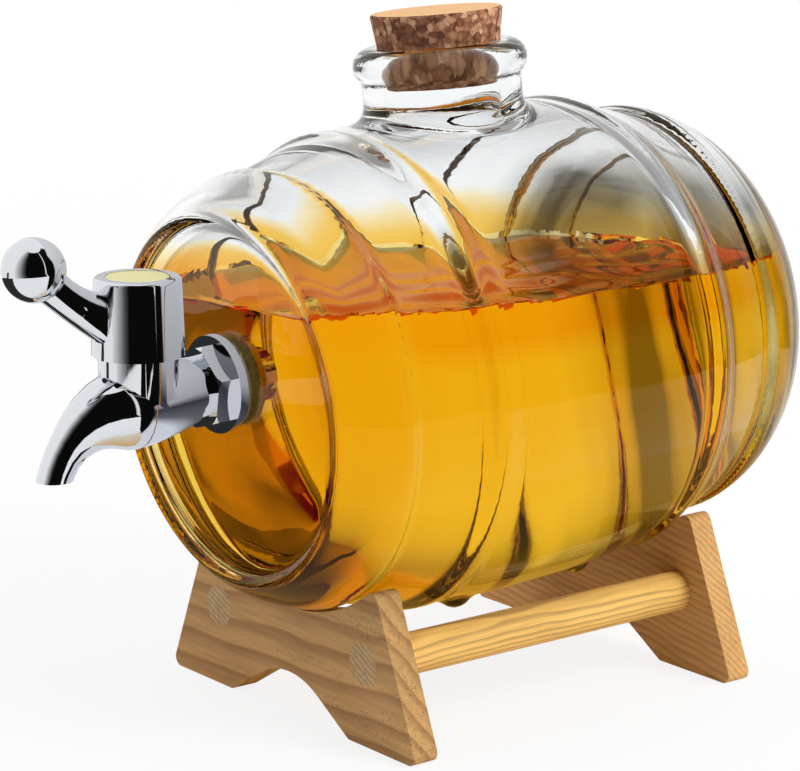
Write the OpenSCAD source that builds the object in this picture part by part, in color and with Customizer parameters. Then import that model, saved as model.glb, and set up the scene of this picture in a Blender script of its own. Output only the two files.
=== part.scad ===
// Glass barrel liquor dispenser: a hooped glass barrel with a cork and a chromed tap, on a pine stand.
// Millimetres. +Z is up, the barrel lies along Y and the tap faces -Y.
// The origin is the bottom centre of the whole object's box.

/* [Barrel] */
// Length of the barrel over its two end rims
barrel_length = 136.4; // [120:0.1:150]
// Diameter at the belly
belly_diameter = 112.8; // [100:0.1:125]
// How far the radius falls from the belly to the end bands
belly_drop = 8.4; // [6:0.1:10]
// How late the belly curve turns down: 2 is round, more is flatter in the middle
belly_power = 2.54; // [2:0.01:3]
// Distance from the belly to each middle hoop
hoop_station = 32.1; // [28:0.1:36]
// Width of a middle hoop
hoop_width = 10.4; // [7:0.1:12]
// Height of a middle hoop above the glass beside it
hoop_rise = 1.35; // [0.5:0.05:2]
// Width of each end band, from its inner edge to the end rim
band_width = 15.7; // [13.2:0.1:18.2]
// Height of the end bands' inner edge above the glass beside it
band_rise = 2.3; // [1.5:0.1:3.5]
// Radius of the rounded shoulder from end band to rim
shoulder_radius = 25.5; // [24:0.5:30]
// Radius of the rim's own edge
rim_round = 1.5; // [1.3:0.1:2.5]
// Depth of the flat end face inside the rim
face_recess = 1.2; // [0.5:0.1:1.2]
// Thickness of the glass along the barrel
glass_wall = 3.5; // [2.5:0.1:4.5]
// Thickness of the glass at the flat ends
face_wall = 4; // [3:0.1:6]
// Radius of the corner inside the barrel's ends
inner_corner = 8; // [6:0.5:12]

/* [Barrel position] */
// Gap between the belly and the dowels under it
belly_gap = 5.1; // [3:0.1:10]
// Forward lean of the barrel, so that it drains to the tap
barrel_tilt = 2.9; // [0:0.1:4]
// Turn of the barrel in its cradle, which leans the neck sideways
barrel_roll = -4; // [-8:0.5:8]
// Distance of the belly behind the middle of the stand
barrel_shift = 0.55; // [-1:0.05:1]

/* [Neck and cork] */
// Outer diameter of the neck
neck_diameter = 36.8; // [34:0.1:40]
// Diameter of the bead round the lip
lip_diameter = 40.2; // [38.5:0.1:44]
// Radius of the bead's section
lip_round = 4.2; // [3.5:0.1:4.8]
// Height of the lip's top over the belly
neck_height = 15.1; // [12.5:0.1:20]
// Diameter of the neck's bore
neck_bore = 27; // [25:0.1:28]
// Diameter of the bore at the lip, where the cork seats
mouth_diameter = 28.6; // [28.2:0.1:29.4]
// Depth of the tapered seat at the mouth
seat_depth = 5.5; // [4:0.1:8]
// Radius of the fillet at the foot of the neck
neck_fillet = 3; // [1.5:0.1:4]
// Length of cork above the lip
cork_above = 7.5; // [5:0.1:10]
// Length of cork below the lip
cork_below = 9.3; // [8:0.1:12]
// Gap between the cork and its seat
cork_gap = 0.1; // [0.05:0.01:0.3]
// Size of the cork's worn edges
cork_edge = 0.5; // [0.2:0.1:1]

/* [Glass feet] */
// Radius of the balls that form the four feet under the barrel
nub_radius = 4.2; // [3.5:0.1:5]
// How far each foot stands out of the glass
nub_rise = 2; // [1:0.1:2.5]
// Angle from the barrel's underside to each foot
nub_angle = 13.5; // [10:0.5:18]
// Distance of each foot from the belly
nub_station = 18; // [14:0.5:22]

/* [Stand] */
// Width over the feet
base_width = 93.5; // [88:0.1:104]
// Thickness of each panel
panel_thickness = 6.4; // [5:0.1:7.5]
// How far in from the barrel's ends the panels are set
panel_inset = 21.2; // [20.4:0.1:22.2]
// Inward lean of the panels' sides
side_lean = 22.5; // [18:0.5:25]
// Height of the arch under each panel
arch_height = 10.1; // [7:0.1:12]
// Radius of the arch's crown
arch_radius = 21.2; // [16:0.1:24]
// Angle of the arch's flanks
arch_flank = 31; // [25:1:40]
// Radius of the feet's corners
foot_round = 2; // [1:0.1:3]
// Radius of the horns' tips
horn_round = 2.2; // [1:0.1:3]
// Gap between the glass and the cradles
cradle_gap = 0.45; // [0.3:0.05:0.8]
// Diameter of the dowels
dowel_diameter = 9.6; // [8:0.1:11]
// Distance between the dowels' axes
dowel_spread = 56.2; // [52:0.1:60]
// Height of the dowels' axes
dowel_height = 18.9; // [17:0.1:20.5]

/* [Tap] */
// Height of the tap's axis over the middle of the barrel's end
tap_rise = 4.5; // [0:0.1:8]
// Turn of the tap about the barrel's axis
tap_turn = 0.6; // [-8:0.2:8]
// Diameter of the flange
flange_diameter = 22; // [20:0.1:25]
// Thickness of the flange
flange_thickness = 2.1; // [1.5:0.1:3]
// Width of the hexagon across its flats
hex_width = 17; // [15:0.1:18]
// Length of the hexagon
hex_length = 4.4; // [3:0.1:6]
// Turn of the hexagon about the tap's axis
hex_turn = 18; // [0:1:59]
// Radius of the body where it leaves the hexagon
tail_radius = 7; // [5.5:0.1:7.5]
// Radius of the body at the valve
bulge_radius = 9; // [8:0.1:9.5]
// Distance from the flange to the valve's axis
valve_reach = 21.3; // [18:0.1:23]
// Backward lean of the valve on the tap, which sets it upright on the leaning barrel
valve_lean = 2.9; // [0:0.1:4]
// Outer diameter of the valve's socket
socket_diameter = 17.4; // [16:0.1:17.6]
// Height of the socket's top over the tap's axis
socket_height = 16.4; // [15:0.1:18]
// Radius of the bend in the spout
spout_bend = 20.3; // [18:0.1:24]
// Angle that the spout turns down
spout_angle = 72; // [60:1:80]
// Outer radius of the spout's tip
spout_radius = 3.9; // [3.8:0.1:5]
// Drop from the tap's axis to the spout's mouth
spout_drop = 14.4; // [12:0.1:16]
// Radius of the water way through the tap
flow_radius = 2.8; // [2:0.1:3.1]
// Diameter of the threaded shank
shank_diameter = 12.4; // [11:0.1:13]
// Length of the shank behind the flange
shank_length = 21; // [17:0.5:26]
// Gap round the shank in the glass
shank_gap = 0.4; // [0.2:0.1:0.8]

/* [Seals and nut] */
// Thickness of the outer gasket
outer_gasket_thickness = 1.2; // [0.8:0.1:2]
// Diameter of the outer gasket
outer_gasket_diameter = 20.4; // [18:0.1:21.5]
// Thickness of the inner gasket
inner_gasket_thickness = 1.5; // [1:0.1:2.5]
// Diameter of the inner gasket
inner_gasket_diameter = 21; // [18:0.1:24]
// Thickness of the washer behind it
back_washer_thickness = 1; // [0.6:0.1:1.5]
// Diameter of that washer
back_washer_diameter = 20; // [18:0.1:23]
// Thickness of the nut
nut_thickness = 4.5; // [3:0.1:6]
// Width of the nut across its flats
nut_width = 17; // [16:0.1:19]
// Chamfer of the hexagons' corners
hex_chamfer = 0.7; // [0.3:0.1:1]

/* [Valve] */
// Diameter of the plug
plug_diameter = 10; // [9:0.1:10.8]
// Running gap round the plug and its spindle
plug_gap = 0.06; // [0.03:0.01:0.1]
// Depth of the plug below the tap's axis
plug_depth = 5.6; // [4.6:0.1:6.2]
// Diameter of the plug's spindle
spindle_diameter = 6.4; // [5.5:0.1:7]
// Width of the spindle's square end
drive_width = 4.4; // [3.6:0.1:4.5]
// Length of the square end
drive_length = 3.8; // [3:0.1:5]
// Thickness of the gland ring
gland_thickness = 4; // [3:0.1:4.5]
// Outer diameter of the gland ring
gland_diameter = 13; // [12:0.1:13.6]
// Thickness of the washer between plug and gland
thrust_washer_thickness = 0.8; // [0.5:0.1:1]
// Thickness of an O-ring
ring_section = 1.6; // [1.2:0.1:1.8]
// How far an O-ring is pressed on its groove's floor
ring_squeeze = 0.06; // [0.02:0.01:0.15]
// Angle that the lever turns from shut to open
open_angle = 90; // [60:1:120]
// Angle taken up by the stop lug
stop_angle = 24; // [16:1:30]
// Depth of the notch in the socket's rim that the lug runs in
stop_depth = 2; // [1.5:0.1:2.5]

/* [Lever] */
// Diameter of the cap at its top
cap_top_diameter = 19; // [17.6:0.1:19.4]
// Diameter of the cap at its skirt
cap_skirt_diameter = 20.3; // [19.6:0.1:21]
// Height of the skirt's edge over the tap's axis
cap_bottom = 10.4; // [10:0.1:12.5]
// Height of the cap
cap_height = 17.1; // [16:0.1:19]
// Radius of the cap's top edge
cap_round = 0.9; // [0.6:0.1:1.5]
// Running gap between the skirt and the socket
skirt_gap = 0.3; // [0.2:0.05:0.4]
// Distance from the valve's axis to the centre of the ball
lever_length = 25.7; // [23:0.1:32]
// Height of the ball's centre over the tap's axis
ball_height = 31.7; // [30:0.1:36]
// Diameter of the ball
ball_diameter = 13.8; // [11:0.1:16]
// Thickness of the lever's arm
arm_thickness = 6.2; // [4.5:0.1:7.5]
// Height of the arm across its length
arm_height = 6.6; // [5:0.1:8]
// Height that the arm gains towards the cap
arm_flare = 6.6; // [3:0.1:8]
// Height that the arm gains at the ball
ball_flare = 2; // [0:0.1:3]
// Height over the tap's axis where the arm's middle enters the cap
arm_start = 18.6; // [17.5:0.1:20]
// Height that the arm's middle hangs below a straight line, halfway along
arm_sag = 2; // [0:0.1:3]
// Diameter of the marker disc in the cap's top
disc_diameter = 13.6; // [10:0.1:14]
// Thickness of the marker disc
disc_thickness = 1.2; // [0.8:0.1:1.6]
// Diameter of the screw that holds the cap
screw_diameter = 3; // [2.5:0.1:3.2]
// Diameter of that screw's head
screw_head = 5.4; // [5:0.1:6]
// Height of that screw's head
screw_head_height = 1.9; // [1.5:0.1:2.1]
// Length of the screw below its head
screw_length = 9; // [7:0.1:11]
// Width of the hexagonal socket in the screw's head
screw_socket = 2.4; // [2:0.1:2.6]
// Thickness of the washer under the screw's head
screw_washer_thickness = 0.5; // [0.3:0.1:0.7]

/* [Hidden] */
$fn = 96;

// Overshoot of a cut past the face that it opens
over = 1;
// Side of a block that is larger than the object
big = 400;

// Barrel
belly_radius = belly_diameter / 2;
half_length = barrel_length / 2;
band_station = half_length - band_width;
face_station = half_length - face_recess;
inner_station = face_station - face_wall;
band_radius = belly_radius - belly_drop + band_rise;
dowel_radius = dowel_diameter / 2;
axis_height = dowel_height
    + sqrt(pow(belly_radius + belly_gap + dowel_radius, 2) - pow(dowel_spread / 2, 2));

function belly(y) = belly_radius - belly_drop * pow(abs(y) / band_station, belly_power);
function hoop(y) =
    let (t = (abs(y) - hoop_station) / hoop_width)
    abs(t) < 0.5 ? hoop_rise * (1 + cos(360 * t)) / 2 : 0;
function arc(centre, radius, from, to, steps) =
    [for (i = [0 : steps]) let (a = from + (to - from) * i / steps)
        centre + radius * [cos(a), sin(a)]];
function reversed(list) = [for (i = [len(list) - 1 : -1 : 0]) list[i]];
function flipped(list) = [for (p = reversed(list)) [p.x, -p.y]];

// Outline of one barrel end in [radius, station], from the band's edge round to the axis
// How far the centre of the shoulder's arc is set back from the band's edge
shoulder_back = 3.3;
shoulder_station = band_station - shoulder_back;
shoulder_centre = [band_radius - sqrt(pow(shoulder_radius, 2) - pow(shoulder_back, 2)),
    shoulder_station];
rim_station = half_length - rim_round;
rim_centre = [shoulder_centre.x
    + sqrt(pow(shoulder_radius - rim_round, 2) - pow(rim_station - shoulder_station, 2)), rim_station];
band_angle = asin(shoulder_back / shoulder_radius);
rim_angle = atan2(rim_station - shoulder_station, rim_centre.x - shoulder_centre.x);
recess_angle = 180 - asin((rim_round - face_recess) / rim_round);
// Width of the slope that leads up to the band's edge
band_foot = 2;
shoulder_steps = 6;
rim_steps = 4;
corner_steps = 5;
end_outline = concat(
    [[belly(band_station - band_foot), band_station - band_foot],
        [(belly(band_station) + band_radius) / 2, band_station - band_foot / 3]],
    arc(shoulder_centre, shoulder_radius, band_angle, rim_angle, shoulder_steps),
    arc(rim_centre, rim_round, rim_angle, recess_angle, rim_steps),
    [[0, face_station]]);

// Outline of the glass between the end bands
waist_steps = 3;
hoop_steps = 6;
hoop_inner = hoop_station - hoop_width / 2;
hoop_outer = hoop_station + hoop_width / 2;
waist_stations = concat(
    [for (i = [0 : waist_steps - 1]) hoop_inner * i / waist_steps],
    [for (i = [0 : hoop_steps - 1]) hoop_inner + hoop_width * i / hoop_steps],
    [hoop_outer, (hoop_outer + band_station - band_foot) / 2]);
half_outline = concat([for (y = waist_stations) [belly(y) + hoop(y), y]], end_outline);
outer_outline = concat(half_outline, [for (p = flipped(half_outline)) if (p.y < 0) p]);

// Outline of the space inside
corner_centre_station = inner_station - inner_corner;
corner_slope = atan(belly_drop * belly_power / band_station);
corner_start = corner_centre_station + inner_corner * sin(corner_slope);
corner_centre = [belly(corner_start) - glass_wall - inner_corner * cos(corner_slope), corner_centre_station];
inner_steps = 6;
half_inside = concat(
    [for (i = [0 : inner_steps - 1]) let (y = corner_start * i / inner_steps) [belly(y) - glass_wall, y]],
    arc(corner_centre, inner_corner, corner_slope, 90, corner_steps),
    [[0, inner_station]]);
inner_outline = concat(half_inside, [for (p = flipped(half_inside)) if (p.y < 0) p]);

// Neck and cork
neck_radius = neck_diameter / 2;
lip_height = belly_radius + neck_height;
lip_centre = [lip_diameter / 2 - lip_round, lip_height - lip_round];
seat_taper = (mouth_diameter - neck_bore) / 2 / seat_depth;
function cork_radius(height) = mouth_diameter / 2 - cork_gap + seat_taper * (height - lip_height);
cork_bottom = lip_height - cork_below;
cork_top = lip_height + cork_above;
neck_root = belly_radius - glass_wall;
fillet_sides = 36;
fillet_steps = 5;
// How deep the fillet's edges are sunk in the glass beside them
fillet_sink = 0.25;

// Tap
flange_back = outer_gasket_thickness;
flange_front = flange_back + flange_thickness;
hex_front = flange_front + hex_length;
valve_station = flange_back + valve_reach;
shank_radius = shank_diameter / 2;
nut_front = -face_wall - inner_gasket_thickness - back_washer_thickness;
// How far past the valve's axis the spout begins to turn down
spout_lead = 3.3;
spout_start = valve_station + spout_lead;
body_sides = 28;
tail_steps = 7;
spout_steps = 9;
// Angle that the water way runs on past the spout's mouth, and steps that the spout runs on before it is cut
mouth_overrun = 20;
mouth_steps = 2;
// Sag of the body's middle below the water way, at the valve
bulge_sag = 1.2;
// How soon the body swells behind the hexagon, and how fast it narrows in the spout
swell_power = 1.3;
narrow_power = 3;

// Valve and lever
plug_radius = plug_diameter / 2;
spindle_radius = spindle_diameter / 2;
gland_bottom = socket_height - gland_thickness;
plug_shoulder = gland_bottom - thrust_washer_thickness - plug_gap;
skirt_radius = socket_diameter / 2 + skirt_gap;
skirt_roof = socket_height + skirt_gap;
spindle_top = skirt_roof;
drive_top = spindle_top + drive_length;
cap_top = cap_bottom + cap_height;
cap_rim = [cap_top_diameter / 2 - cap_round, cap_top - cap_round];
cap_steps = 5;
// Gaps round the screw, its head and the disc
screw_gap = 0.1;
head_gap = 0.3;
disc_gap = 0.1;
web_thickness = 1.6;
web_top = drive_top + web_thickness;
head_seat = web_top + screw_washer_thickness;
disc_seat = cap_top - disc_thickness - disc_gap;
screw_hole_bottom = head_seat - screw_length;
// Metal left in the screw's head under its socket
screw_socket_floor = 0.7;
groove_play = 0.32;
ring_groove = ring_section + groove_play;
ring_centre = plug_radius - ring_section / 2;
groove_floor = plug_radius - ring_section + ring_squeeze;
ring_margin = (plug_shoulder - flow_radius - 2 * ring_groove) / 3;
lower_ring_height = flow_radius + ring_margin + ring_groove / 2;
upper_ring_height = plug_shoulder - ring_margin - ring_groove / 2;
// The lug sits under the arm, which points to -Y when the tap is shut
stop_start = 270 - stop_angle / 2;
stop_play = 1;
// Wall left between the gland ring and the notch
notch_wall = 0.4;
stop_inner = gland_diameter / 2 + notch_wall;
arm_sides = 28;
arm_steps = 9;
ball_sides = 72;
// How far the arm's root is sunk in the cap
arm_sink = 4;
// How late the arm's height grows towards cap and ball, and how square its section is
cap_flare_power = 2.5;
ball_flare_power = 4;
box_power = 0.62;
arm_root = [cap_top_diameter / 2 - arm_sink, arm_start];
arm_tip = [lever_length, ball_height];
arm_bend = (arm_root + arm_tip) / 2 - [0, 2 * arm_sag];
// Place of the dimple in the arm's side: 0 is the arm's root, 1 the ball's centre
dimple_place = 0.5;
// How far the dimple lies below the arm's middle
dimple_drop = 1;
dimple_radius = 1;
dimple_depth = 0.4;

// Places
// Distance from the front panel to the rear panel, face to like face
panel_pitch = barrel_length - 2 * panel_inset;
stand_depth = panel_pitch + panel_thickness;
function max_of(list, i = 0) = i == len(list) - 1 ? list[i] : max(list[i], max_of(list, i + 1));
rear_reach = max_of([for (p = outer_outline) p.y * cos(barrel_tilt) + p.x * sin(barrel_tilt)]);
ball_station = face_station + valve_station + lever_length * cos(valve_lean) - ball_height * sin(valve_lean);
ball_rise = tap_rise * cos(barrel_roll)
    + (ball_height * cos(valve_lean) + lever_length * sin(valve_lean)) * cos(tap_turn);
front_reach = ball_station * cos(barrel_tilt) + ball_rise * sin(barrel_tilt) + ball_diameter / 2;
barrel_y = (front_reach - rear_reach) / 2;
stand_front = barrel_y - barrel_shift - stand_depth / 2;
stand_rear = stand_front + panel_pitch;

// Where each cradle comes nearest to the glass, as [radius, station]: the front one at the end band's
// edge, the rear one at the panel's inner edge
rear_offset = stand_rear - barrel_y;
rear_station = (rear_offset - belly(rear_offset) * sin(barrel_tilt)) / cos(barrel_tilt);
front_seat = [band_radius, -band_station];
rear_seat = [belly(rear_station), rear_station];
function cradle_radius(seat) = seat.x + cradle_gap;
function cradle_centre(seat) =
    axis_height + seat.y * sin(barrel_tilt) + seat.x * (1 - cos(barrel_tilt));

module at_barrel(roll = 0) {
    translate([0, barrel_y, axis_height]) rotate([barrel_tilt, 0, 0]) rotate([0, roll, 0]) children();
}

// Frame of the tap: its origin is the middle of the hole on the outer face, +Z is up
module at_tap() {
    at_barrel()
        translate([tap_rise * sin(barrel_roll), -face_station, tap_rise * cos(barrel_roll)])
            rotate([0, tap_turn, 0]) children();
}

// Frame of the valve: its origin is where the valve's axis meets the tap's own, +Z is the valve's axis
module on_valve() {
    translate([0, -valve_station, 0]) rotate([-valve_lean, 0, 0]) children();
}

module at_valve() {
    at_tap() on_valve() children();
}

// Bar along Y from one station to the next, in the tap's frame
module along(from, to, radius, sides = $fn) {
    translate([0, -from, 0]) rotate([90, 0, 0]) cylinder(h = to - from, r = radius, $fn = sides);
}

// Solid through a list of rings that have the same number of points
module loft(rings) {
    n = len(rings[0]);
    last = (len(rings) - 1) * n;
    walls = [for (i = [0 : len(rings) - 2], j = [0 : n - 1])
        let (a = i * n + j, b = i * n + (j + 1) % n)
        each [[a, b + n, b], [a, a + n, b + n]]];
    polyhedron([for (ring = rings) each ring],
        concat(walls, [[for (j = [0 : n - 1]) j], [for (j = [n - 1 : -1 : 0]) last + j]]));
}

// Stand
side_normal = [cos(side_lean), sin(side_lean)];
side_upward = [-sin(side_lean), cos(side_lean)];
arch_steps = 5;
foot_steps = 6;
horn_steps = 8;
cradle_steps = 12;
foot_centre = [base_width / 2 - foot_round, foot_round];
arch_centre = [0, arch_height - arch_radius];
arch_spring = arch_centre + arch_radius * [sin(arch_flank), cos(arch_flank)];
foot_inner = arch_spring.x + arch_spring.y / tan(arch_flank);

// Centre of a horn's rounded tip: it touches the side's line and the cradle's circle
function horn_centre(seat) =
    let (line = (foot_centre * side_normal + foot_round - horn_round) * side_normal,
        q = line - [0, cradle_centre(seat)],
        along_line = q * side_upward,
        reach = cradle_radius(seat) + horn_round)
    line + (-along_line - sqrt(pow(along_line, 2) - q * q + reach * reach)) * side_upward;

// Right half of a panel's outline, from the arch's crown round to the cradle's middle
function panel_half(seat) =
    let (centre = [0, cradle_centre(seat)],
        tip = horn_centre(seat),
        towards = centre - tip,
        tip_angle = atan2(towards.y, towards.x),
        inner_centre = [foot_inner + foot_round * tan(arch_flank / 2), foot_round])
    concat(
        arc(arch_centre, arch_radius, 90, 90 - arch_flank, arch_steps),
        arc(inner_centre, foot_round, 270 - arch_flank, 270, foot_steps / 2),
        arc(foot_centre, foot_round, 270, 360 + side_lean, foot_steps),
        arc(tip, horn_round, side_lean, tip_angle, horn_steps),
        arc(centre, cradle_radius(seat), tip_angle + 180, 270, cradle_steps));

module panel(y, seat) {
    right = panel_half(seat);
    left = [for (p = reversed(right)) if (p.x > 0.001) [-p.x, p.y]];
    translate([0, y + panel_thickness, 0]) rotate([90, 0, 0]) difference() {
        linear_extrude(panel_thickness) polygon(concat(right, left));
        for (side = [-1, 1])
            translate([side * dowel_spread / 2, dowel_height, -over])
                cylinder(h = panel_thickness + 2 * over, r = dowel_radius);
    }
}

module front_panel() {
    color("burlywood") panel(stand_front, front_seat);
}

module rear_panel() {
    color("burlywood") panel(stand_rear, rear_seat);
}

module dowel(side) {
    translate([side * dowel_spread / 2, stand_front + stand_depth, dowel_height])
        rotate([90, 0, 0]) cylinder(h = stand_depth, r = dowel_radius);
}

module left_dowel() {
    color("peru") dowel(-1);
}

module right_dowel() {
    color("peru") dowel(1);
}

// Glass
function glass_height(x, y) = sqrt(pow(belly(y), 2) - x * x);

// Ring of the fillet round the neck's foot, which follows the barrel: 0 is its lower edge, 1 its upper
function fillet_ring(t) =
    let (radius = neck_radius + (neck_fillet + fillet_sink) * (1 - sin(90 * t)) - fillet_sink)
    [for (j = [0 : fillet_sides - 1])
        let (a = 360 * j / fillet_sides, x = radius * cos(a), y = radius * sin(a))
        [x, y, glass_height(x, y) + (neck_fillet + fillet_sink) * (1 - cos(90 * t)) - fillet_sink]];
function flat_ring(radius, height) =
    [for (j = [0 : fillet_sides - 1]) let (a = 360 * j / fillet_sides)
        [radius * cos(a), radius * sin(a), height]];

module neck_outside() {
    loft(concat(
        [flat_ring(neck_radius + neck_fillet, neck_root - neck_fillet)],
        [for (i = [0 : fillet_steps]) fillet_ring(i / fillet_steps)],
        [flat_ring(neck_radius - fillet_sink, belly_radius + 2 * neck_fillet)]));
    translate([0, 0, neck_root]) cylinder(h = lip_centre.y - neck_root, r = neck_radius);
    rotate_extrude() {
        translate(lip_centre) circle(lip_round);
        translate([0, lip_centre.y]) square([lip_centre.x, lip_round]);
    }
}

module neck_inside() {
    rotate_extrude() polygon([
        [0, 0],
        [neck_bore / 2, 0],
        [neck_bore / 2, lip_height - seat_depth],
        [mouth_diameter / 2 + seat_taper * over, lip_height + over],
        [0, lip_height + over]]);
}

module glass_barrel() {
    color("lightgreen", 0.4) difference() {
        union() {
            at_barrel() rotate([-90, 0, 0]) rotate_extrude() polygon(outer_outline);
            at_barrel(barrel_roll) {
                neck_outside();
                for (side = [-1, 1], end = [-1, 1])
                    rotate([0, 180 + side * nub_angle, 0])
                        translate([0, end * nub_station, belly(nub_station) + nub_rise - nub_radius])
                            sphere(nub_radius);
            }
        }
        at_barrel() rotate([-90, 0, 0]) rotate_extrude() polygon(inner_outline);
        at_barrel(barrel_roll) neck_inside();
        at_tap() along(-face_wall - over, over, shank_radius + shank_gap);
    }
}

module cork_stopper() {
    color("tan") at_barrel(barrel_roll) rotate_extrude() polygon([
        [0, cork_bottom],
        [cork_radius(cork_bottom) - cork_edge, cork_bottom],
        [cork_radius(cork_bottom + cork_edge), cork_bottom + cork_edge],
        [cork_radius(cork_top - cork_edge), cork_top - cork_edge],
        [cork_radius(cork_top) - cork_edge, cork_top],
        [0, cork_top]]);
}

// Part of a ring about Z that starts at an angle and runs on by a sweep
module sector(inner_radius, outer_radius, height, start, sweep) {
    rotate([0, 0, start]) rotate_extrude(angle = sweep)
        translate([inner_radius, 0]) square([outer_radius - inner_radius, height]);
}

// Tap body
function body_ring(station, height, slope, radius) =
    [for (j = [0 : body_sides - 1]) let (a = 360 * j / body_sides)
        [radius * cos(a), -(station + radius * sin(a) * sin(slope)), height + radius * sin(a) * cos(slope)]];

// Rings of the body from the hexagon to the valve, where it swells and sags a little
function tail_ring(t) =
    let (swell = pow(sin(90 * t), swell_power), station = hex_front - over + (spout_start - hex_front + over) * t)
    body_ring(station, -bulge_sag * swell, 0, tail_radius + (bulge_radius - tail_radius) * swell);

// Rings of the spout, which narrows and turns down
function spout_ring(t) =
    let (slope = spout_angle * t, narrow = pow(max(0, 1 - t), narrow_power) * (1 + narrow_power * t))
    body_ring(spout_start + spout_bend * sin(slope), spout_bend * (cos(slope) - 1) - bulge_sag * narrow,
        slope, spout_radius + (bulge_radius - spout_radius) * narrow);

// Hexagon along Y with its far corners chamfered
module hexagon(from, to, width, turn = 0) {
    corner = width / 2 / cos(30);
    rotate([0, -turn, 0]) intersection() {
        along(from, to, corner, 6);
        translate([0, -from, 0]) rotate([90, 0, 0])
            cylinder(h = to - from, r1 = corner + to - from - hex_chamfer, r2 = corner - hex_chamfer);
    }
}

module tap_outside() {
    along(flange_back, flange_front, flange_diameter / 2);
    hexagon(flange_front - over, hex_front, hex_width, hex_turn);
    along(-shank_length + flange_back, flange_back + over, shank_radius);
    on_valve() cylinder(h = socket_height, d = socket_diameter);
    difference() {
        loft(concat(
            [for (i = [0 : tail_steps - 1]) tail_ring(i / tail_steps)],
            [for (i = [0 : spout_steps + mouth_steps]) spout_ring(i / spout_steps)]));
        on_valve() translate([-big / 2, -big / 2, -spout_drop - big]) cube(big);
    }
}

module water_way() {
    along(flange_back - shank_length - over, valve_station, flow_radius);
    along(valve_station, spout_start, flow_radius);
    translate([0, -spout_start, -spout_bend]) rotate([0, -90, 0]) rotate([0, 0, 180])
        rotate_extrude(angle = spout_angle + mouth_overrun) translate([spout_bend, 0]) circle(flow_radius);
}

module tap_body() {
    color("gainsboro") difference() {
        at_tap() tap_outside();
        at_tap() water_way();
        at_valve() {
            translate([0, 0, -plug_depth - plug_gap])
                cylinder(h = socket_height + plug_depth + over, r = plug_radius + plug_gap);
            translate([0, 0, gland_bottom]) cylinder(h = gland_thickness + over, d = gland_diameter);
            translate([0, 0, socket_height - stop_depth])
                sector(stop_inner, socket_diameter / 2 + over, stop_depth + over,
                    stop_start - stop_play, open_angle + stop_angle + 2 * stop_play);
        }
    }
}

// Washer along Y from one station to the next, in the tap's frame
module washer(from, to, outer_radius, inner_radius) {
    difference() {
        along(from, to, outer_radius);
        along(from - over, to + over, inner_radius);
    }
}

module outer_gasket() {
    color("whitesmoke") at_tap()
        washer(0, outer_gasket_thickness, outer_gasket_diameter / 2, shank_radius);
}

module inner_gasket() {
    color("whitesmoke") at_tap()
        washer(-face_wall - inner_gasket_thickness, -face_wall, inner_gasket_diameter / 2, shank_radius);
}

module back_washer() {
    color("silver") at_tap()
        washer(nut_front, nut_front + back_washer_thickness, back_washer_diameter / 2, shank_radius);
}

module back_nut() {
    color("silver") at_tap() difference() {
        mirror([0, 1, 0]) hexagon(-nut_front, nut_thickness - nut_front, nut_width);
        along(nut_front - nut_thickness - over, nut_front + over, shank_radius);
    }
}

// Valve
module gland_ring() {
    color("goldenrod") at_valve() translate([0, 0, gland_bottom]) difference() {
        cylinder(h = gland_thickness, d = gland_diameter);
        translate([0, 0, -over])
            cylinder(h = gland_thickness + 2 * over, r = spindle_radius + plug_gap);
    }
}

module ring_slot(height) {
    translate([0, 0, height - ring_groove / 2]) difference() {
        cylinder(h = ring_groove, r = plug_radius + over);
        translate([0, 0, -over]) cylinder(h = ring_groove + 2 * over, r = groove_floor);
    }
}

module valve_plug() {
    color("goldenrod") at_valve() difference() {
        union() {
            translate([0, 0, -plug_depth]) cylinder(h = plug_depth + plug_shoulder, r = plug_radius);
            cylinder(h = spindle_top, r = spindle_radius);
            translate([-drive_width / 2, -drive_width / 2, 0]) cube([drive_width, drive_width, drive_top]);
        }
        rotate([0, 90, 0]) cylinder(h = plug_diameter + 2 * over, r = flow_radius, center = true);
        ring_slot(upper_ring_height);
        ring_slot(lower_ring_height);
        translate([0, 0, screw_hole_bottom]) cylinder(h = screw_length, d = screw_diameter);
    }
}

module thrust_washer() {
    color("ivory") at_valve() translate([0, 0, plug_shoulder]) difference() {
        cylinder(h = thrust_washer_thickness, r = plug_radius);
        translate([0, 0, -over]) cylinder(h = thrust_washer_thickness + 2 * over, r = spindle_radius);
    }
}

module o_ring(height) {
    at_valve() translate([0, 0, height]) rotate_extrude() translate([ring_centre, 0]) circle(d = ring_section);
}

module upper_o_ring() {
    color("dimgray") o_ring(upper_ring_height);
}

module lower_o_ring() {
    color("dimgray") o_ring(lower_ring_height);
}

// Lever
function arm_middle(t) = pow(1 - t, 2) * arm_root + 2 * t * (1 - t) * arm_bend + t * t * arm_tip;
function arm_slope(t) =
    let (d = (1 - t) * (arm_bend - arm_root) + t * (arm_tip - arm_bend)) atan2(d.y, d.x);

// Section of the arm: a rounded box across its slope
function boxy(value) = sign(value) * pow(abs(value), box_power);
function arm_ring(t) =
    let (middle = arm_middle(t), slope = arm_slope(t),
        gain = arm_flare * pow(1 - t, cap_flare_power) + ball_flare * pow(t, ball_flare_power),
        half_height = (arm_height + gain) / 2)
    [for (j = [0 : arm_sides - 1])
        let (a = 360 * j / arm_sides, across = half_height * boxy(sin(a)))
        [arm_thickness / 2 * boxy(cos(a)), -(middle.x - across * sin(slope)), middle.y + across * cos(slope)]];

module lever_outside() {
    rotate_extrude() polygon(concat(
        [[0, cap_bottom], [cap_skirt_diameter / 2, cap_bottom]],
        arc(cap_rim, cap_round, 0, 90, cap_steps),
        [[0, cap_top]]));
    loft([for (i = [0 : arm_steps]) arm_ring(i / arm_steps)]);
    translate([0, -lever_length, ball_height]) sphere(d = ball_diameter, $fn = ball_sides);
}

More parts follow.
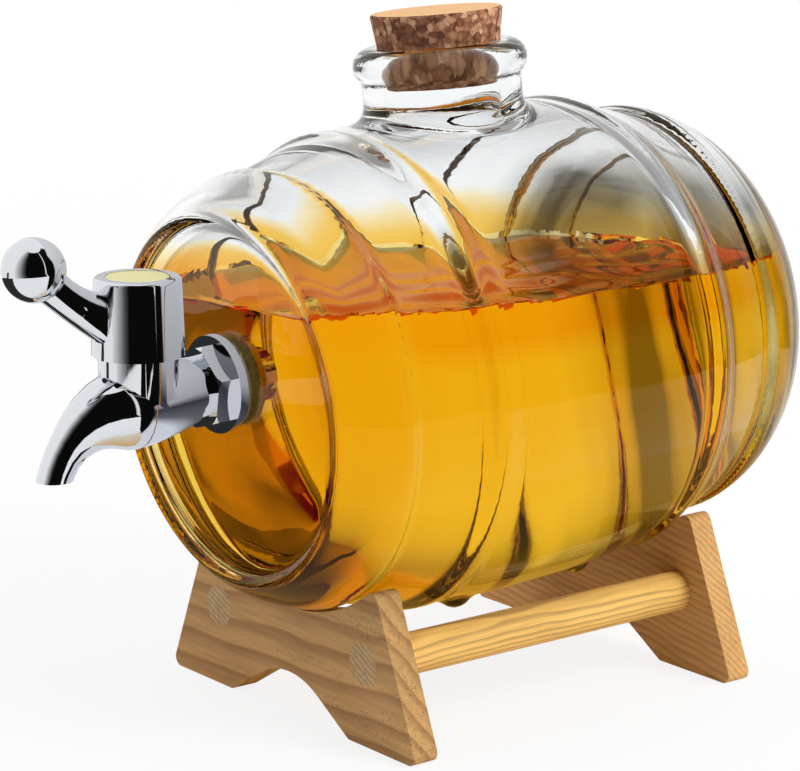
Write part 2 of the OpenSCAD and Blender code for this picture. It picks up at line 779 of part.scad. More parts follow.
module lever_handle() {
    dimple = arm_middle(dimple_place) - [0, dimple_drop];
    color("gainsboro") at_valve() {
        difference() {
            lever_outside();
            translate([0, 0, cap_bottom - over])
                cylinder(h = skirt_roof - cap_bottom + over, r = skirt_radius);
            translate([-drive_width / 2, -drive_width / 2, 0]) cube([drive_width, drive_width, drive_top]);
            cylinder(h = cap_top, r = screw_diameter / 2 + screw_gap);
            translate([0, 0, web_top]) cylinder(h = cap_height, r = screw_head / 2 + head_gap);
            translate([0, 0, disc_seat]) cylinder(h = cap_height, r = disc_diameter / 2 + disc_gap);
            for (side = [-1, 1])
                translate([side * (arm_thickness / 2 - dimple_depth), -dimple.x, dimple.y])
                    rotate([0, side * 90, 0]) cylinder(h = over, r = dimple_radius);
        }
        translate([0, 0, socket_height - stop_depth + skirt_gap])
            sector(stop_inner + skirt_gap, skirt_radius + over / 2,
                stop_depth - skirt_gap + over, stop_start, stop_angle);
    }
}

module screw_washer() {
    color("silver") at_valve() translate([0, 0, web_top]) difference() {
        cylinder(h = screw_washer_thickness, d = screw_head);
        translate([0, 0, -over])
            cylinder(h = screw_washer_thickness + 2 * over, r = screw_diameter / 2 + screw_gap);
    }
}

module cap_screw() {
    color("silver") at_valve() difference() {
        union() {
            translate([0, 0, screw_hole_bottom]) cylinder(h = screw_length + over, d = screw_diameter);
            translate([0, 0, head_seat]) cylinder(h = screw_head_height, d = screw_head);
        }
        translate([0, 0, head_seat + screw_socket_floor])
            cylinder(h = screw_head_height - screw_socket_floor + over, r = screw_socket / 2 / cos(30), $fn = 6);
    }
}

module marker_disc() {
    color("khaki") at_valve() translate([0, 0, disc_seat]) cylinder(h = disc_thickness, d = disc_diameter);
}

front_panel();
rear_panel();
left_dowel();
right_dowel();
glass_barrel();
cork_stopper();
tap_body();
outer_gasket();
inner_gasket();
back_washer();
back_nut();
gland_ring();
valve_plug();
thrust_washer();
upper_o_ring();
lower_o_ring();
lever_handle();
screw_washer();
cap_screw();
marker_disc();
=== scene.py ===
"""Glass barrel liquor dispenser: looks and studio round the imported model. Metres, +Z up."""
import math

import bpy
import numpy as np
from mathutils import Matrix, Vector


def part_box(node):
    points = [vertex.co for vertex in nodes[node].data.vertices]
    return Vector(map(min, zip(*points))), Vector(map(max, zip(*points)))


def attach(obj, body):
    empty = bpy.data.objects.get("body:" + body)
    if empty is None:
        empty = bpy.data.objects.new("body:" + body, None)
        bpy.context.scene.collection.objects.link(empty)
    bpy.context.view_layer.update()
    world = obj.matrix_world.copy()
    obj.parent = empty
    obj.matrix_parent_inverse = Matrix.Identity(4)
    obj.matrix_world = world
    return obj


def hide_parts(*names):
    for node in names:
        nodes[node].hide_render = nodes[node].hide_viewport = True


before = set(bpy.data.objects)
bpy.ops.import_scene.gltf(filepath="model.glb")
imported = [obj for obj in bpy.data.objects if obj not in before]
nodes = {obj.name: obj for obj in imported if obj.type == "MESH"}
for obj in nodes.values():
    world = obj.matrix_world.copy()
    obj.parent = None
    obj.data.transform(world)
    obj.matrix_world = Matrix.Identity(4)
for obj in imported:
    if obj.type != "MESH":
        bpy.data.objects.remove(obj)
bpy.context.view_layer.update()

MM = 0.001

# ------------------------------------------------- sizes shared with the solids, in mm
TILT = math.radians(2.9)
ROLL = math.radians(-4.0)
DOWEL_HEIGHT = 18.9
DOWEL_RADIUS = 4.8
DOWEL_SPREAD = 56.2
BELLY_GAP = 5.1
HALF_LENGTH = 68.2
BELLY_RADIUS = 56.4
BELLY_DROP = 8.4
BELLY_POWER = 2.54
HOOP_STATION = 32.1
HOOP_WIDTH = 10.4
HOOP_RISE = 1.35
BAND_STATION = 52.5
BAND_RADIUS = 50.3
BAND_LAND = 3.3
BAND_STEP_START = 2
BAND_STEP_MIDDLE = 0.67
SHOULDER_RADIUS = 25.5
RIM_ROUND = 1.5
FACE_RECESS = 1.2
GLASS_WALL = 3.5
FACE_WALL = 4.0
INNER_CORNER = 8.0
NECK_RADIUS = 18.4
NECK_FOOT = 40
LIP_RADIUS = 20.1
LIP_ROUND = 4.2
LIP_HEIGHT = 71.5
NECK_BORE = 13.5
MOUTH_RADIUS = 14.3
SEAT_DEPTH = 5.5
BORE_FOOT = 30
NUB_RADIUS = 4.2
NUB_RISE = 2.0
NUB_ANGLE = math.radians(13.5)
NUB_STATION = 18.0
SHANK_HOLE = 6.6
SHANK_HOLE_END = -30
TAP_RISE = 4.5
AXIS_HEIGHT = DOWEL_HEIGHT + math.sqrt(
    (BELLY_RADIUS + BELLY_GAP + DOWEL_RADIUS) ** 2 - (DOWEL_SPREAD / 2) ** 2)
FACE_STATION = HALF_LENGTH - FACE_RECESS

# ------------------------------------------------- sizes of the drawn glass and liquor, in mm
# Barrel coordinates: origin at the barrel's middle, Y along its axis to the end away from the
# tap. Fillets, then room for the ripples, so that the drawn glass stays inside the solid's box
NECK_BLEND = 4.0
BORE_BLEND = 3.0
NUB_BLEND = 1.2
CREASE_STEPS = 5
RIPPLE_ROOM = 0.07
INNER_RIPPLE = 0.7
# Meshes: the step of their grids and the boxes that hold them
POLISH_ROUNDS = 4
GLASS_STEP = 1.2
GLASS_BOX = (-60, -71, -60), (60, 71, 74)
LIQUOR_STEP = 1.4
LIQUOR_BOX = (-58, -68, -58), (58, 68, 30)
# The liquor's level over the table where x is SURFACE_LEVEL_AT, and its fall to the far side
LIQUOR_LEVEL = 98.4
SURFACE_LEVEL_AT = 40
SURFACE_SLOPE = 0.04
SURFACE_BLEND = 0.4
LIQUOR_OVERLAP = 0.12
MENISCUS_RISE = 1.6
MENISCUS_REACH = 1.3
# Which faces count as wet glass, and as the liquor's side
WET_REACH = 0.4
WET_HEIGHT = 1.0
SIDE_REACH = 0.2
GLASS_IOR = 1.5
LIQUOR_IOR = 1.36
FREE_SURFACE_IOR = 1.22


def belly(y):
    return BELLY_RADIUS - BELLY_DROP * (np.abs(y) / BAND_STATION) ** BELLY_POWER


def hoop(y):
    t = (np.abs(y) - HOOP_STATION) / HOOP_WIDTH
    return np.where(np.abs(t) < 0.5, HOOP_RISE * (1 + np.cos(2 * math.pi * t)) / 2, 0.0)


def arc(centre, radius, start, end, steps):
    a = np.radians(np.linspace(start, end, steps + 1))
    return np.stack([centre[0] + radius * np.cos(a), centre[1] + radius * np.sin(a)], 1)


# ------------------------------------------------- outlines in (radius, station)
def mirrored(half):
    """The whole outline, from its half on the +Y side."""
    other = half[::-1] * [1, -1]
    return np.concatenate([half, other[other[:, 1] < 0]])


def outer_outline():
    """The glass's outside, without neck and feet."""
    shoulder = BAND_STATION - BAND_LAND
    cx = BAND_RADIUS - math.sqrt(SHOULDER_RADIUS**2 - BAND_LAND**2)
    rim_y = HALF_LENGTH - RIM_ROUND
    rim_x = cx + math.sqrt((SHOULDER_RADIUS - RIM_ROUND) ** 2 - (rim_y - shoulder) ** 2)
    start = math.degrees(math.asin(BAND_LAND / SHOULDER_RADIUS))
    turn = math.degrees(math.atan2(rim_y - shoulder, rim_x - cx))
    recess = 180 - math.degrees(math.asin((RIM_ROUND - FACE_RECESS) / RIM_ROUND))
    y = np.linspace(0, BAND_STATION - BAND_STEP_START, 90)
    waist = np.stack([belly(y) + hoop(y), y], 1)
    middle = (belly(BAND_STATION) + BAND_RADIUS) / 2
    half = np.concatenate([
        waist,
        [[middle, BAND_STATION - BAND_STEP_MIDDLE]],
        arc((cx, shoulder), SHOULDER_RADIUS, start, turn, 30),
        arc((rim_x, rim_y), RIM_ROUND, turn, recess, 10),
        [[0, FACE_STATION]]])
    return mirrored(half)


def inner_outline():
    """The hollow's wall, without the neck's bore."""
    inner = FACE_STATION - FACE_WALL
    slope = math.atan(BELLY_DROP * BELLY_POWER / BAND_STATION)
    cy = inner - INNER_CORNER
    start = cy + INNER_CORNER * math.sin(slope)
    cx = belly(start) - GLASS_WALL - INNER_CORNER * math.cos(slope)
    y = np.linspace(0, start, 60)
    half = np.concatenate([
        np.stack([belly(y) - GLASS_WALL, y], 1),
        arc((cx, cy), INNER_CORNER, math.degrees(slope), 90, 16),
        [[0, inner]]])
    return mirrored(half)


def neck_outline():
    """The neck and its lip, from a foot inside the belly."""
    cx = LIP_RADIUS - LIP_ROUND
    cy = LIP_HEIGHT - LIP_ROUND
    meet = math.degrees(math.acos((NECK_RADIUS - cx) / LIP_ROUND))
    return np.concatenate([
        [[0, NECK_FOOT], [NECK_RADIUS, NECK_FOOT]],
        arc((cx, cy), LIP_ROUND, -meet, 90, 24),
        [[0, LIP_HEIGHT]]])


def bore_outline():
    """The neck's bore and the cork's tapered seat, from the hollow to above the lip."""
    taper = (MOUTH_RADIUS - NECK_BORE) / SEAT_DEPTH
    above = 4
    return np.array([
        [0, BORE_FOOT], [NECK_BORE, BORE_FOOT], [NECK_BORE, LIP_HEIGHT - SEAT_DEPTH],
        [MOUTH_RADIUS + taper * above, LIP_HEIGHT + above], [0, LIP_HEIGHT + above]])


class Turned:
    """Signed distance to a turned shape, from a table over (radius, station)."""

    STEP = 0.2
    MARGIN = 12

    def __init__(self, outline):
        self.outline = outline
        low = outline.min(0) - self.MARGIN
        high = outline.max(0) + self.MARGIN
        low[0] = 0
        self.low = low
        nx, ny = np.ceil((high - low) / self.STEP).astype(int) + 1
        r = low[0] + self.STEP * np.arange(nx)
        y = low[1] + self.STEP * np.arange(ny)
        rr, yy = np.meshgrid(r, y, indexing="ij")
        self.table = self.exact(rr.ravel(), yy.ravel()).reshape(nx, ny)

    def exact(self, r, y):
        """Signed distance at each point, from every edge but those on the axis."""
        best = np.full(len(r), 1e9)
        inside = np.zeros(len(r), bool)
        tiny = 1e-12
        for (ax, ay), (bx, by) in zip(self.outline, np.roll(self.outline, -1, axis=0)):
            ex, ey = bx - ax, by - ay
            on_axis = max(abs(ax), abs(bx)) < 1e-9
            if not on_axis:
                t = ((r - ax) * ex + (y - ay) * ey) / (ex * ex + ey * ey + tiny)
                t = np.clip(t, 0, 1)
                best = np.minimum(best, (r - ax - t * ex) ** 2 + (y - ay - t * ey) ** 2)
            if abs(ey) > tiny:
                crosses = (ay > y) != (by > y)
                inside ^= crosses & (r < ax + (y - ay) * ex / ey)
        return np.where(inside, -1, 1) * np.sqrt(best)

    def soften(self, reach):
        """Round the creases off, by a mean over a small square of the table."""
        t = self.table
        for axis in (0, 1):
            t = sum(np.roll(t, s, axis) for s in range(-reach, reach + 1)) / (2 * reach + 1)
        inner = slice(reach, -reach)
        self.table[inner, inner] = t[inner, inner]

    def __call__(self, r, y):
        """The table's value between its points."""
        u = np.clip((r - self.low[0]) / self.STEP, 0, self.table.shape[0] - 1.001)
        v = np.clip((y - self.low[1]) / self.STEP, 0, self.table.shape[1] - 1.001)
        i, j = u.astype(int), v.astype(int)
        u, v = u - i, v - j
        t = self.table
        return ((t[i, j] * (1 - u) + t[i + 1, j] * u) * (1 - v)
                + (t[i, j + 1] * (1 - u) + t[i + 1, j + 1] * u) * v)


def blend_min(a, b, k):
    """The smaller of two distances, with a fillet of about k where they meet."""
    h = np.clip(0.5 + 0.5 * (b - a) / k, 0, 1)
    return b + (a - b) * h - k * h * (1 - h)


def blend_max(a, b, k):
    return -blend_min(-a, -b, k)


barrel_outside = Turned(outer_outline())
barrel_outside.soften(CREASE_STEPS)
barrel_inside = Turned(inner_outline())
neck_outside = Turned(neck_outline())
neck_inside = Turned(bore_outline())


def to_neck(x, y, z):
    """Barrel coordinates before the roll, from those after it."""
    c, s = math.cos(ROLL), math.sin(ROLL)
    return x * c - z * s, y, x * s + z * c


def cavity(x, y, z):
    """Signed distance to the hollow and the neck's bore, in barrel coordinates."""
    r = np.hypot(x, z)
    nx, ny, nz = to_neck(x, y, z)
    return blend_min(barrel_inside(r, y), neck_inside(np.hypot(nx, ny), nz), BORE_BLEND)


def ripple(x, y, z):
    """Slow unevenness of pressed glass, 0.08 mm at most."""
    return (0.05 * np.sin(x / 7.3 + 1.7 * np.sin(y / 11.0)) * np.sin(z / 8.1 + 1.3)
            + 0.03 * np.sin(y / 4.7 + z / 9.0 + 2.1 * np.sin(x / 13.0)))


def glass(x, y, z):
    """Signed distance to the glass, in barrel coordinates."""
    nx, ny, nz = to_neck(x, y, z)
    body = barrel_outside(np.hypot(x, z), y) + RIPPLE_ROOM + ripple(x, y, z)
    neck = neck_outside(np.hypot(nx, ny), nz)
    f = blend_min(body, neck, NECK_BLEND)
    reach = belly(NUB_STATION) + NUB_RISE - NUB_RADIUS
    for side in (-1, 1):
        a = math.pi + side * NUB_ANGLE
        cx, cz = reach * math.sin(a), reach * math.cos(a)
        for end in (-1, 1):
            cy = end * NUB_STATION
            ball = np.sqrt((nx - cx) ** 2 + (ny - cy) ** 2 + (nz - cz) ** 2) - NUB_RADIUS
            f = blend_min(f, ball, NUB_BLEND)
    f = np.maximum(f, -cavity(x, y, z) - INNER_RIPPLE * ripple(z, y, x))
    hx, hz = TAP_RISE * math.sin(ROLL), TAP_RISE * math.cos(ROLL)
    hole = np.maximum(np.hypot(x - hx, z - hz) - SHANK_HOLE, y - SHANK_HOLE_END)
    return np.maximum(f, -hole)


def surface(f, box, step):
    """Closed quad mesh of f = 0 by surface nets, then moved on to f = 0 exactly."""
    low, high = box
    axes = [np.arange(low[i], high[i] + step, step) for i in range(3)]
    grid = np.empty([len(a) for a in axes], np.float32)
    yy, zz = np.meshgrid(axes[1], axes[2], indexing="ij")
    for i, x in enumerate(axes[0]):
        grid[i] = f(np.full_like(yy, x), yy, zz)
    inside = grid < 0
    n = np.array(grid.shape) - 1
    total = np.zeros([*n, 3], np.float32)
    count = np.zeros(n, np.float32)
    corner = [(i, j, k) for i in (0, 1) for j in (0, 1) for k in (0, 1)]

    def part(a, c):
        return a[c[0]:n[0] + c[0], c[1]:n[1] + c[1], c[2]:n[2] + c[2]]

    for c in corner:
        for axis in range(3):
            if c[axis]:
                continue
            d = list(c)
            d[axis] = 1
            a, b = part(grid, c), part(grid, d)
            cross = part(inside, c) != part(inside, d)
            t = np.where(cross, a / np.where(cross, a - b, 1), 0)
            for m in range(3):
                total[..., m] += np.where(cross, c[m] + (t if m == axis else 0), 0)
            count += cross
    active = count > 0
    index = -np.ones(n, np.int64)
    index[active] = np.arange(active.sum())
    cells = np.argwhere(active)
    points = (cells + total[active] / count[active][:, None]) * step + np.array(low)
    faces = []
    for axis in range(3):
        u, v = (axis + 1) % 3, (axis + 2) % 3
        a = [slice(None)] * 3
        b = [slice(None)] * 3
        a[axis], b[axis] = slice(0, -1), slice(1, None)
        cross = inside[tuple(a)] != inside[tuple(b)]
        where = np.argwhere(cross)
        in_u = (where[:, u] > 0) & (where[:, u] < n[u])
        in_v = (where[:, v] > 0) & (where[:, v] < n[v])
        where = where[in_u & in_v]
        quad = []
        for du, dv in ((-1, -1), (0, -1), (0, 0), (-1, 0)):
            w = where.copy()
            w[:, u] += du
            w[:, v] += dv
            quad.append(index[w[:, 0], w[:, 1], w[:, 2]])
        quad = np.stack(quad, 1)
        flip = ~inside[where[:, 0], where[:, 1], where[:, 2]]
        quad[flip] = quad[flip][:, ::-1]
        faces.append(quad)
    faces = np.concatenate(faces)
    h, flattest, share = 0.05, 0.25, 0.8
    for _ in range(POLISH_ROUNDS):
        x, y, z = points.T
        value = f(x, y, z)
        slope = np.stack([
            f(x + h, y, z) - f(x - h, y, z),
            f(x, y + h, z) - f(x, y - h, z),
            f(x, y, z + h) - f(x, y, z - h)], 1) / (2 * h)
        steep = np.maximum((slope * slope).sum(1), flattest)
        move = np.clip(value / steep, -step / 2, step / 2)
        points = points - slope * move[:, None] * share
    return points, faces


def barrel_matrix():
    """From barrel coordinates to the frame: the drawn glass ends where the solid does."""
    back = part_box("glass_barrel")[1].y
    reach = max(p[1] * math.cos(TILT) + p[0] * math.sin(TILT) for p in outer_outline())
    y = back / MM - reach
    return (Matrix.Translation(Vector((0, y * MM, AXIS_HEIGHT * MM)))
            @ Matrix.Rotation(TILT, 4, "X"))


BARREL = barrel_matrix()
BARREL_Y = BARREL.translation.y


def make_mesh(name, points, faces, matrix):
    """A smooth mesh in the frame, from points in mm."""
    corners = np.arange(0, faces.size, faces.shape[1], dtype=np.int32)
    mesh = bpy.data.meshes.new(name)
    mesh.vertices.add(len(points))
    mesh.vertices.foreach_set("co", (np.asarray(points) * MM).astype(np.float32).ravel())
    mesh.loops.add(faces.size)
    mesh.loops.foreach_set("vertex_index", faces.astype(np.int32).ravel())
    mesh.polygons.add(len(faces))
    mesh.polygons.foreach_set("loop_start", corners)
    mesh.update(calc_edges=True)
    mesh.validate()
    mesh.transform(matrix)
    mesh.shade_smooth()
    obj = bpy.data.objects.new(name, mesh)
    bpy.context.scene.collection.objects.link(obj)
    return obj


# ------------------------------------------------- materials
class Nodes:
    """A short way to write a node tree."""

    def __init__(self, name):
        self.material = bpy.data.materials.new(name)
        self.material.use_nodes = True
        self.tree = self.material.node_tree
        self.tree.nodes.clear()
        self.out = self.tree.nodes.new("ShaderNodeOutputMaterial")

    def new(self, kind, inputs=None, **settings):
        node = self.tree.nodes.new("ShaderNode" + kind)
        for key, value in settings.items():
            setattr(node, key, value)
        for key, value in (inputs or {}).items():
            self.set(node, key, value)
        return node

    def set(self, node, key, value):
        if isinstance(value, bpy.types.NodeSocket):
            self.tree.links.new(value, node.inputs[key])
        else:
            node.inputs[key].default_value = value

    def place(self, kind="Object"):
        return self.new("TexCoord").outputs[kind]

    def part(self, vector, axis):
        return self.new("SeparateXYZ", {0: vector}).outputs[axis]

    def noise(self, place, scale, detail, output="Fac"):
        node = self.new("TexNoise", {"Vector": place, "Scale": scale, "Detail": detail})
        return node.outputs[output]

    def remap(self, value, source=(0.0, 1.0), target=(0.0, 1.0)):
        """The value taken from one range to another, and held inside it."""
        node = self.new("MapRange", {
            "Value": value, "From Min": source[0], "From Max": source[1],
            "To Min": target[0], "To Max": target[1]})
        return node.outputs[0]

    def ramp(self, factor, stops):
        """A colour ramp. A stop is a position with a colour, or with a grey's one number."""
        node = self.new("ValToRGB", {"Fac": factor})
        elements = node.color_ramp.elements
        while len(elements) < len(stops):
            elements.new(0.5)
        for element, (position, colour) in zip(elements, stops):
            element.position = position
            element.color = (*(colour if isinstance(colour, tuple) else (colour,) * 3), 1)
        return node.outputs["Color"]

    def math(self, operation, *values):
        return self.new("Math", dict(enumerate(values)), operation=operation).outputs[0]

    def vector(self, operation, *values):
        node = self.new("VectorMath", dict(enumerate(values)), operation=operation)
        return node.outputs["Value" if operation in ("DOT_PRODUCT", "LENGTH") else "Vector"]

    def mix(self, factor, a, b, blend="MIX"):
        node = self.new("Mix", data_type="RGBA", blend_type=blend)
        self.set(node, 0, factor)
        for key, colour in ((6, a), (7, b)):
            linked = isinstance(colour, bpy.types.NodeSocket)
            self.set(node, key, colour if linked else (*colour, 1))
        return node.outputs[2]

    def bump(self, height, strength, distance):
        node = self.new("Bump", {"Height": height, "Strength": strength, "Distance": distance})
        return node.outputs[0]

    def shader(self, **inputs):
        node = self.new("BsdfPrincipled")
        for key, value in inputs.items():
            self.set(node, key.replace("_", " "), value)
        self.tree.links.new(node.outputs[0], self.out.inputs["Surface"])


def glass_material():
    """Clear glass with painted light: amber painted where liquor stands behind it, darker where
    it is seen on edge, and with painted dark streaks at its rear end, where the photograph shows
    the dark room through it."""
    m = Nodes("clear_glass")
    place = m.place()
    height = m.part(place, "Z")
    along = m.part(place, "Y")
    cloud = m.noise(place, 45.0, 2.0)
    uneven = m.math("MULTIPLY_ADD", cloud, 0.006, height)
    # Painted amber: the liquor's colour seen through the glass, painted on it in a band round the
    # liquor's level
    painted_amber_tint = m.ramp(m.remap(uneven, (0.0, 0.13)), [
        (0.0, (1.0, 0.99, 0.95)), (0.70, (1.0, 0.97, 0.85)), (0.745, (0.96, 0.54, 0.05)),
        (0.80, (0.98, 0.62, 0.13)), (0.845, (1.0, 0.86, 0.52)), (0.875, (0.98, 0.99, 0.985))])
    station = m.math("ABSOLUTE", m.math("SUBTRACT", along, BARREL_Y))
    end = m.remap(station, (0.045, 0.055))
    low = m.remap(uneven, (0.104, 0.094))
    # More painted amber, below the liquor's level at both ends of the glass
    painted_amber_tint = m.mix(m.math("MULTIPLY", end, low), painted_amber_tint, (0.92, 0.72, 0.22))
    edge = m.new("LayerWeight", {"Blend": 0.35}).outputs["Facing"]
    shade = m.ramp(edge, [
        (0.0, 1.0), (0.6, 0.99), (0.85, (0.86, 0.88, 0.86)), (1.0, (0.50, 0.53, 0.51))])
    tint = m.mix(1.0, painted_amber_tint, shade, "MULTIPLY")
    rear = m.remap(along, (BARREL_Y + 0.042, BARREL_Y + 0.058))
    under = m.remap(height, (0.124, 0.112))
    # Painted shade: dark streaks at the rear end stand for the dark room seen through the glass
    streak = m.noise(m.vector("MULTIPLY", place, (0.25, 1.0, 0.25)), 160.0, 1.0)
    painted_dark_streaks = m.ramp(streak, [(0.38, (0.06, 0.06, 0.05)), (0.62, (0.50, 0.49, 0.44))])
    tint = m.mix(m.math("MULTIPLY", rear, under), tint, m.mix(1.0, tint, painted_dark_streaks, "MULTIPLY"))
    grain = m.noise(place, 90.0, 1.0)
    m.shader(Base_Color=tint, Roughness=m.remap(cloud, target=(0.0, 0.012)), IOR=GLASS_IOR,
             Transmission_Weight=1.0, Specular_Tint=(0.5, 0.32, 0.08, 1),
             Normal=m.bump(grain, 0.05, 0.001))
    return m.material


def wet_glass_material():
    """The glass where liquor touches it: only the step from glass to liquor bends the light."""
    m = Nodes("wet_glass")
    cloud = m.noise(m.place(), 45.0, 2.0)
    m.shader(Base_Color=m.mix(cloud, (0.97, 0.96, 0.93), (1.0, 1.0, 0.99)), Roughness=0.0,
             IOR=GLASS_IOR / LIQUOR_IOR, Transmission_Weight=1.0,
             Normal=m.bump(cloud, 0.1, 0.002))
    return m.material


def liquor_material(name, surface_ior):
    """Amber liquor. Its free surface bends light, its side (no IOR) only bounds the colour."""
    m = Nodes(name)
    if surface_ior:
        wave = m.noise(m.place(), 30.0, 1.0)
        m.shader(Base_Color=m.mix(wave, (1.0, 0.99, 0.96), (1.0, 1.0, 1.0)), Roughness=0.0,
                 IOR=surface_ior, Transmission_Weight=1.0, Normal=m.bump(wave, 0.04, 0.002))
    else:
        clear = m.new("BsdfTransparent", {"Color": (1, 1, 1, 1)})
        m.tree.links.new(clear.outputs[0], m.out.inputs["Surface"])
    volume = m.new("VolumeAbsorption", {"Color": (0.98, 0.845, 0.0, 1), "Density": 45.0})
    m.tree.links.new(volume.outputs[0], m.out.inputs["Volume"])
    return m.material


def chrome_material():
    """Polished plate with a faint unevenness."""
    m = Nodes("chrome_plate")
    place = m.place()
    wave = m.noise(place, 55.0, 1.0)
    grain = m.noise(place, 1500.0, 2.0)
    m.shader(Base_Color=m.mix(grain, (0.69, 0.71, 0.75), (0.75, 0.77, 0.81)), Metallic=1.0,
             Roughness=m.remap(grain, target=(0.015, 0.05)), Normal=m.bump(wave, 0.1, 0.001))
    return m.material


def metal_material(name, colour, roughness):
    """Turned metal, a little uneven in tone and roughness."""
    m = Nodes(name)
    grain = m.noise(m.place(), 900.0, 3.0)
    rough = m.remap(grain, target=(roughness * 0.7, roughness * 1.3))
    tint = m.mix(grain, tuple(0.93 * c for c in colour), colour)
    m.shader(Base_Color=tint, Metallic=1.0, Roughness=rough, Normal=m.bump(grain, 0.1, 0.0002))
    return m.material


def plain_material(name, colour, roughness, clear=0.0):
    """Plastic, rubber or silicone, a little uneven in tone and roughness."""
    m = Nodes(name)
    noise = m.noise(m.place(), 1200.0, 2.0)
    tint = m.mix(noise, tuple(c * 0.92 for c in colour), tuple(min(1, c * 1.06) for c in colour))
    rough = m.remap(noise, target=(roughness * 0.8, roughness * 1.2))
    m.shader(Base_Color=tint, Roughness=rough, Transmission_Weight=clear,
             Normal=m.bump(noise, 0.1, 0.0002))
    return m.material


def wood_material(name, across, along, period, light, dark, depth, pores, end_tint=(1, 1, 1)):
    """Sawn wood: yearly rings as sheets square to one direction, fibres along another, pores,
    and a tint of its own for the end grain."""
    m = Nodes(name)
    place = m.place()
    across = Vector(across).normalized()
    along = Vector(along).normalized()
    slow = m.noise(place, 28.0, 2.0)
    flow = m.vector("MULTIPLY", place, tuple(1 - 0.93 * abs(v) for v in along))
    fibre = m.noise(flow, 900.0, 3.0)
    cloud = m.noise(flow, 110.0, 2.0)
    bent = m.math("MULTIPLY_ADD", slow, 0.0035, m.vector("DOT_PRODUCT", place, tuple(across)))
    bent = m.math("MULTIPLY_ADD", cloud, 0.0016, bent)
    ring = m.math("FRACT", m.math("DIVIDE", bent, period))
    late = m.ramp(ring, [(0.0, 0.0), (0.45, 0.08), (0.86, 1.0), (0.93, 0.85), (1.0, 0.0)])
    shade = m.mix(m.math("MULTIPLY", late, depth), light, dark)
    streak = m.ramp(fibre, [(0.3, (0.86, 0.84, 0.82)), (0.62, (1.04, 1.04, 1.03))])
    shade = m.mix(1.0, shade, streak, "MULTIPLY")
    patch = m.ramp(cloud, [(0.3, (0.93, 0.91, 0.89)), (0.7, (1.03, 1.03, 1.02))])
    shade = m.mix(1.0, shade, patch, "MULTIPLY")
    dots = m.new("TexVoronoi", {"Vector": place, "Scale": 1500.0}).outputs["Distance"]
    hole = m.math("MULTIPLY", m.math("LESS_THAN", dots, 0.2), m.math("GREATER_THAN", cloud, 0.56))
    hole = m.math("MULTIPLY", hole, pores)
    shade = m.mix(hole, shade, tuple(0.35 * c for c in dark))
    facing = m.vector("DOT_PRODUCT", m.place("Normal"), tuple(along))
    end = m.math("GREATER_THAN", m.math("ABSOLUTE", facing), 0.9)
    shade = m.mix(end, shade, m.mix(1.0, shade, end_tint, "MULTIPLY"))
    m.shader(Base_Color=shade, Roughness=m.remap(fibre, target=(0.5, 0.68)),
             Specular_IOR_Level=0.3, Normal=m.bump(m.math("SUBTRACT", fibre, hole), 0.25, 0.0003))
    return m.material


def cork_material():
    """Pressed granules on the side, a sanded pale top."""
    m = Nodes("cork")
    place = m.place()
    top = m.math("GREATER_THAN", m.part(m.place("Normal"), "Z"), 0.8)
    wobble = m.noise(place, 700.0, 2.0, "Color")
    warp = m.vector("MULTIPLY_ADD", wobble, (0.0016, 0.0016, 0.0016), place)
    cells = m.new("TexVoronoi", {"Vector": warp, "Scale": 620.0})
    tone = m.new("SeparateColor", {0: cells.outputs["Color"]}).outputs[0]
    side = m.ramp(tone, [
        (0.0, (0.18, 0.075, 0.04)), (0.35, (0.42, 0.18, 0.10)), (0.7, (0.60, 0.29, 0.16)),
        (1.0, (0.85, 0.52, 0.31))])
    fine = m.noise(place, 1800.0, 3.0)
    gap = m.ramp(cells.outputs["Distance"], [(0.35, 1.0), (0.75, (0.55, 0.50, 0.48))])
    side = m.mix(1.0, side, gap, "MULTIPLY")
    face = m.mix(fine, (0.78, 0.44, 0.20), (0.90, 0.56, 0.29))
    height = m.math("MULTIPLY", m.math("ADD", cells.outputs["Distance"], fine),
                    m.math("SUBTRACT", 1.2, top))
    m.shader(Base_Color=m.mix(top, side, face), Roughness=m.remap(fine, target=(0.75, 0.95)),
             Specular_IOR_Level=0.2, Normal=m.bump(height, 0.5, 0.0005))
    return m.material


def assign(obj, *materials):
    obj.data.materials.clear()
    for material in materials:
        obj.data.materials.append(material)


glass_mat = glass_material()
wet_glass = wet_glass_material()
liquor_top = liquor_material("liquor", FREE_SURFACE_IOR)
liquor_side = liquor_material("liquor_side", None)
chrome = chrome_material()
brass = metal_material("brass", (0.78, 0.60, 0.28), 0.25)
steel = metal_material("steel", (0.62, 0.62, 0.62), 0.3)
rubber = plain_material("seal_rubber", (0.03, 0.03, 0.03), 0.6)
silicone = plain_material("seal_silicone", (0.95, 0.90, 0.72), 0.15, clear=0.8)
washer_plastic = plain_material("washer_plastic", (0.82, 0.81, 0.76), 0.45)
disc_plastic = plain_material("disc_plastic", (0.80, 0.74, 0.30), 0.3)
front_pine = wood_material(
    "pine", across=(-0.04, 0.83, 0.56), along=(1, 0, 0), period=0.0036,
    light=(0.63, 0.365, 0.14), dark=(0.36, 0.17, 0.06), depth=0.75, pores=1.0)
rear_pine = wood_material(
    "pine_rear", across=(0.10, 0.70, 0.71), along=(1, 0, 0), period=0.0013,
    light=(0.78, 0.45, 0.165), dark=(0.46, 0.22, 0.075), depth=0.6, pores=0.2)
dowel_wood = wood_material(
    "dowel_wood", across=(0.44, 0, 0.90), along=(0, 1, 0), period=0.0013,
    light=(1.0, 0.62, 0.17), dark=(0.46, 0.25, 0.10), depth=0.7, pores=0.1,
    end_tint=(0.60, 0.66, 1.2))
cork_mat = cork_material()

